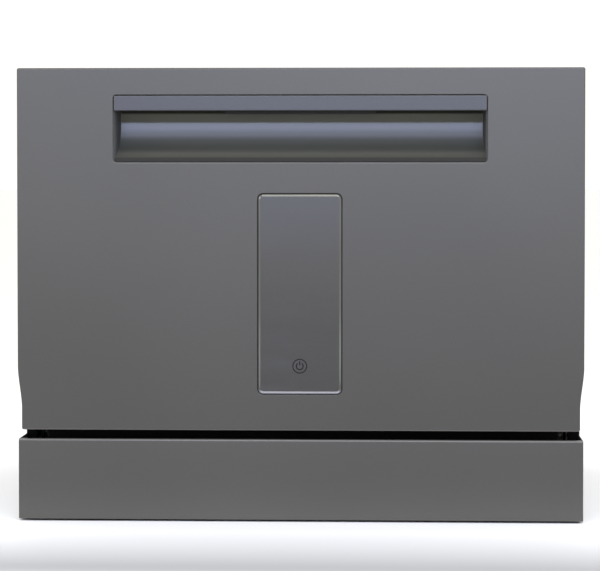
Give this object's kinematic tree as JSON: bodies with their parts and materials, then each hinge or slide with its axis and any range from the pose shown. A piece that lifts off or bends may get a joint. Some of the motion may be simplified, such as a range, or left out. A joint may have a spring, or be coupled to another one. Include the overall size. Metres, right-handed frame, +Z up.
{
  "type": "countertop dishwasher",
  "caption": "Compact cabinet dishwasher with a drop-down door, a wire rack on wheels, a spray arm, a filter sump and adjustable feet; it rests on a counter.",
  "frame": {"origin": "on the standing surface under the middle of the cabinet's outline", "axes": "+X across the front to the right as seen from the front, +Y from the door towards the rear, +Z up"},
  "size_m": [0.55, 0.5, 0.438],
  "materials": {
    "painted_steel": "silver-grey satin powder coat",
    "painted_moulding": "painted moulding in the door's silver grey",
    "zinc_steel": "zinc-plated sheet",
    "stainless": "brushed stainless sheet",
    "spring_steel": "bright spring wire and screws",
    "black_plastic": "black moulded polypropylene",
    "grey_plastic": "grey moulded polypropylene",
    "white_plastic": "off-white moulded plastic",
    "seal_rubber": "black rubber",
    "control_glass": "clear bevelled cover over a grey film",
    "circuit_board": "green circuit board in its carrier",
    "coated_wire": "pale grey nylon-coated wire"
  },
  "bodies": {
    "cabinet": {"outer_casing": "painted_steel", "rear_panel": "zinc_steel", "base_tray": "black_plastic", "plinth_panel": "painted_steel", "tub_shell": "stainless", "door_gasket": "seal_rubber", "sill_seal": "seal_rubber", "sump_bowl": "black_plastic", "filter_plate": "stainless", "spray_hub": "black_plastic", "wash_pump": "black_plastic", "pump_motor": "zinc_steel", "drain_pump": "black_plastic", "flow_heater": "stainless", "softener_tank": "white_plastic", "air_break": "white_plastic", "pump_hoses": "seal_rubber", "inlet_valve": "white_plastic", "drain_spigot": "black_plastic", "power_gland": "black_plastic", "float_switch": "white_plastic", "hinge_brackets": "zinc_steel", "door_spring_left": "spring_steel", "door_spring_right": "spring_steel", "latch_striker": "zinc_steel", "casing_screws": "spring_steel"},
    "door": {"door_panel": "painted_steel", "handle_housing": "painted_moulding", "door_liner": "stainless", "control_glass": "control_glass", "control_board": "circuit_board", "latch_case": "zinc_steel", "hinge_arms": "zinc_steel", "dispenser_body": "grey_plastic"},
    "handle_lever": {"handle_lever": "black_plastic"},
    "latch_pawl": {"latch_pawl": "spring_steel"},
    "dispenser_lid": {"dispenser_lid": "white_plastic"},
    "rinse_cap": {"rinse_cap": "grey_plastic"},
    "spray_arm": {"spray_arm": "grey_plastic"},
    "filter_cup": {"filter_cup": "grey_plastic"},
    "salt_cap": {"salt_cap": "grey_plastic"},
    "float_dome": {"float_dome": "white_plastic"},
    "foot_front_left": {"foot_front_left": "seal_rubber"},
    "foot_front_right": {"foot_front_right": "seal_rubber"},
    "foot_rear_left": {"foot_rear_left": "seal_rubber"},
    "foot_rear_right": {"foot_rear_right": "seal_rubber"},
    "rack": {"rack_floor": "coated_wire", "rack_front": "coated_wire", "rack_rear": "coated_wire", "rack_side_left": "coated_wire", "rack_side_right": "coated_wire", "rack_tines": "coated_wire"},
    "rack_wheel_front_left": {"rack_wheel_front_left": "grey_plastic"},
    "rack_wheel_front_right": {"rack_wheel_front_right": "grey_plastic"},
    "rack_wheel_rear_left": {"rack_wheel_rear_left": "grey_plastic"},
    "rack_wheel_rear_right": {"rack_wheel_rear_right": "grey_plastic"},
    "cutlery_basket": {"cutlery_basket": "grey_plastic", "basket_base": "grey_plastic", "basket_divider": "grey_plastic"},
    "cup_shelf": {"cup_shelf": "coated_wire"}
  },
  "joints": [
    {"name": "door_hinge", "type": "hinge", "parent": "cabinet", "child": "door", "pos_m": [0, -0.222, 0.1105], "axis": [1, 0, 0], "range_deg": [0, 90], "stiffness_Nm_per_rad": 1.6, "springref_deg": -14.32, "deforming": ["door_spring_left", "door_spring_right"]},
    {"name": "rack_slide", "type": "slide", "parent": "cabinet", "child": "rack", "axis": [0, -1, 0], "range_m": [0, 0.33]},
    {"name": "handle_pull", "type": "hinge", "parent": "door", "child": "handle_lever", "pos_m": [0, -0.234, 0.418], "axis": [-1, 0, 0], "range_deg": [0, 10], "stiffness_Nm_per_rad": 0.3, "springref_deg": -17.19},
    {"name": "pawl_turn", "type": "hinge", "parent": "door", "child": "latch_pawl", "pos_m": [0, -0.219, 0.419], "axis": [-1, 0, 0], "range_deg": [0, 12.5]},
    {"name": "lid_slide", "type": "slide", "parent": "door", "child": "dispenser_lid", "axis": [1, 0, 0], "range_m": [0, 0.056]},
    {"name": "rinse_cap_turn", "type": "hinge", "parent": "door", "child": "rinse_cap", "pos_m": [0.042, -0.2, 0.2345], "axis": [0, 1, 0], "range_deg": [0, 90]},
    {"name": "spray_spin", "type": "hinge", "parent": "cabinet", "child": "spray_arm", "pos_m": [0, 0.015, 0.13], "axis": [0, 0, 1], "continuous": true},
    {"name": "filter_turn", "type": "hinge", "parent": "cabinet", "child": "filter_cup", "pos_m": [0.075, -0.06, 0.118], "axis": [0, 0, 1], "range_deg": [0, 45]},
    {"name": "salt_cap_turn", "type": "hinge", "parent": "cabinet", "child": "salt_cap", "pos_m": [-0.1768, 0.12, 0.12], "axis": [0, 0, 1], "range_deg": [0, 360]},
    {"name": "float_lift", "type": "slide", "parent": "cabinet", "child": "float_dome", "axis": [0, 0, 1], "range_m": [0, 0.006]},
    {"name": "foot_front_left_screw", "type": "slide", "parent": "cabinet", "child": "foot_front_left", "axis": [0, 0, -1], "range_m": [0, 0.01]},
    {"name": "foot_rear_left_screw", "type": "slide", "parent": "cabinet", "child": "foot_rear_left", "axis": [0, 0, -1], "range_m": [0, 0.01]},
    {"name": "foot_front_right_screw", "type": "slide", "parent": "cabinet", "child": "foot_front_right", "axis": [0, 0, -1], "range_m": [0, 0.01]},
    {"name": "foot_rear_right_screw", "type": "slide", "parent": "cabinet", "child": "foot_rear_right", "axis": [0, 0, -1], "range_m": [0, 0.01]},
    {"name": "wheel_front_left_roll", "type": "hinge", "parent": "rack", "child": "rack_wheel_front_left", "pos_m": [-0.235, -0.077, 0.1453], "axis": [1, 0, 0], "continuous": true},
    {"name": "wheel_rear_left_roll", "type": "hinge", "parent": "rack", "child": "rack_wheel_rear_left", "pos_m": [-0.235, 0.15, 0.1453], "axis": [1, 0, 0], "continuous": true},
    {"name": "wheel_front_right_roll", "type": "hinge", "parent": "rack", "child": "rack_wheel_front_right", "pos_m": [0.235, -0.077, 0.1453], "axis": [1, 0, 0], "continuous": true},
    {"name": "wheel_rear_right_roll", "type": "hinge", "parent": "rack", "child": "rack_wheel_rear_right", "pos_m": [0.235, 0.15, 0.1453], "axis": [1, 0, 0], "continuous": true},
    {"name": "basket_lift", "type": "slide", "parent": "rack", "child": "cutlery_basket", "axis": [0, 0, 1], "range_m": [0, 0.11]},
    {"name": "shelf_fold", "type": "hinge", "parent": "rack", "child": "cup_shelf", "pos_m": [-0.224, 0.012, 0.251], "axis": [0, -1, 0], "range_deg": [0, 80]}
  ],
  "couplings": [
    {"joint": "rack_slide", "follows": "door_hinge", "m_per_rad": 0.095},
    {"joint": "pawl_turn", "follows": "handle_pull", "ratio": 1.25},
    {"joint": "wheel_front_left_roll", "follows": "door_hinge", "ratio": 7.6},
    {"joint": "wheel_rear_left_roll", "follows": "door_hinge", "ratio": 7.6},
    {"joint": "wheel_front_right_roll", "follows": "door_hinge", "ratio": 7.6},
    {"joint": "wheel_rear_right_roll", "follows": "door_hinge", "ratio": 7.6}
  ]
}
